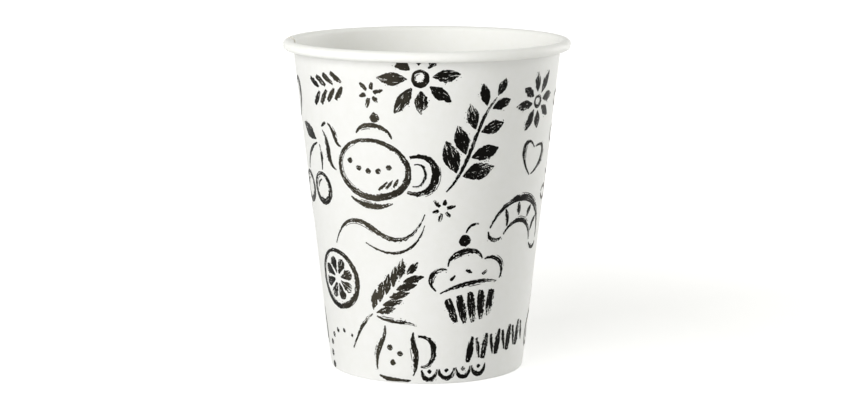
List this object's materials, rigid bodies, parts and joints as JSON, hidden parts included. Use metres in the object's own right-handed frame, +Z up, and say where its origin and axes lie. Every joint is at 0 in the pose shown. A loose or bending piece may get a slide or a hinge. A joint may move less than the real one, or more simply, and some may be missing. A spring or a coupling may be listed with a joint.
{
  "type": "paper coffee cup",
  "caption": "Single-wall paper cup for hot drinks: tapered wall with a rolled rim, a lapped side seam, a folded foot and a recessed base, printed outside with black brush drawings.",
  "frame": {"origin": "centre of the foot ring, on the surface the cup stands on", "axes": "+Z up through the rim; the front of the print faces -Y; the side seam is at the left, towards -X"},
  "size_m": [0.08, 0.08, 0.092],
  "materials": {
    "paper_board": "semi-matt coated white board",
    "base_board": "semi-matt white board with a thin film coating",
    "ink": "black printing ink, dry brush edges"
  },
  "bodies": {
    "root": {"sidewall": "paper_board", "base": "base_board", "print": "ink"}
  },
  "joints": []
}
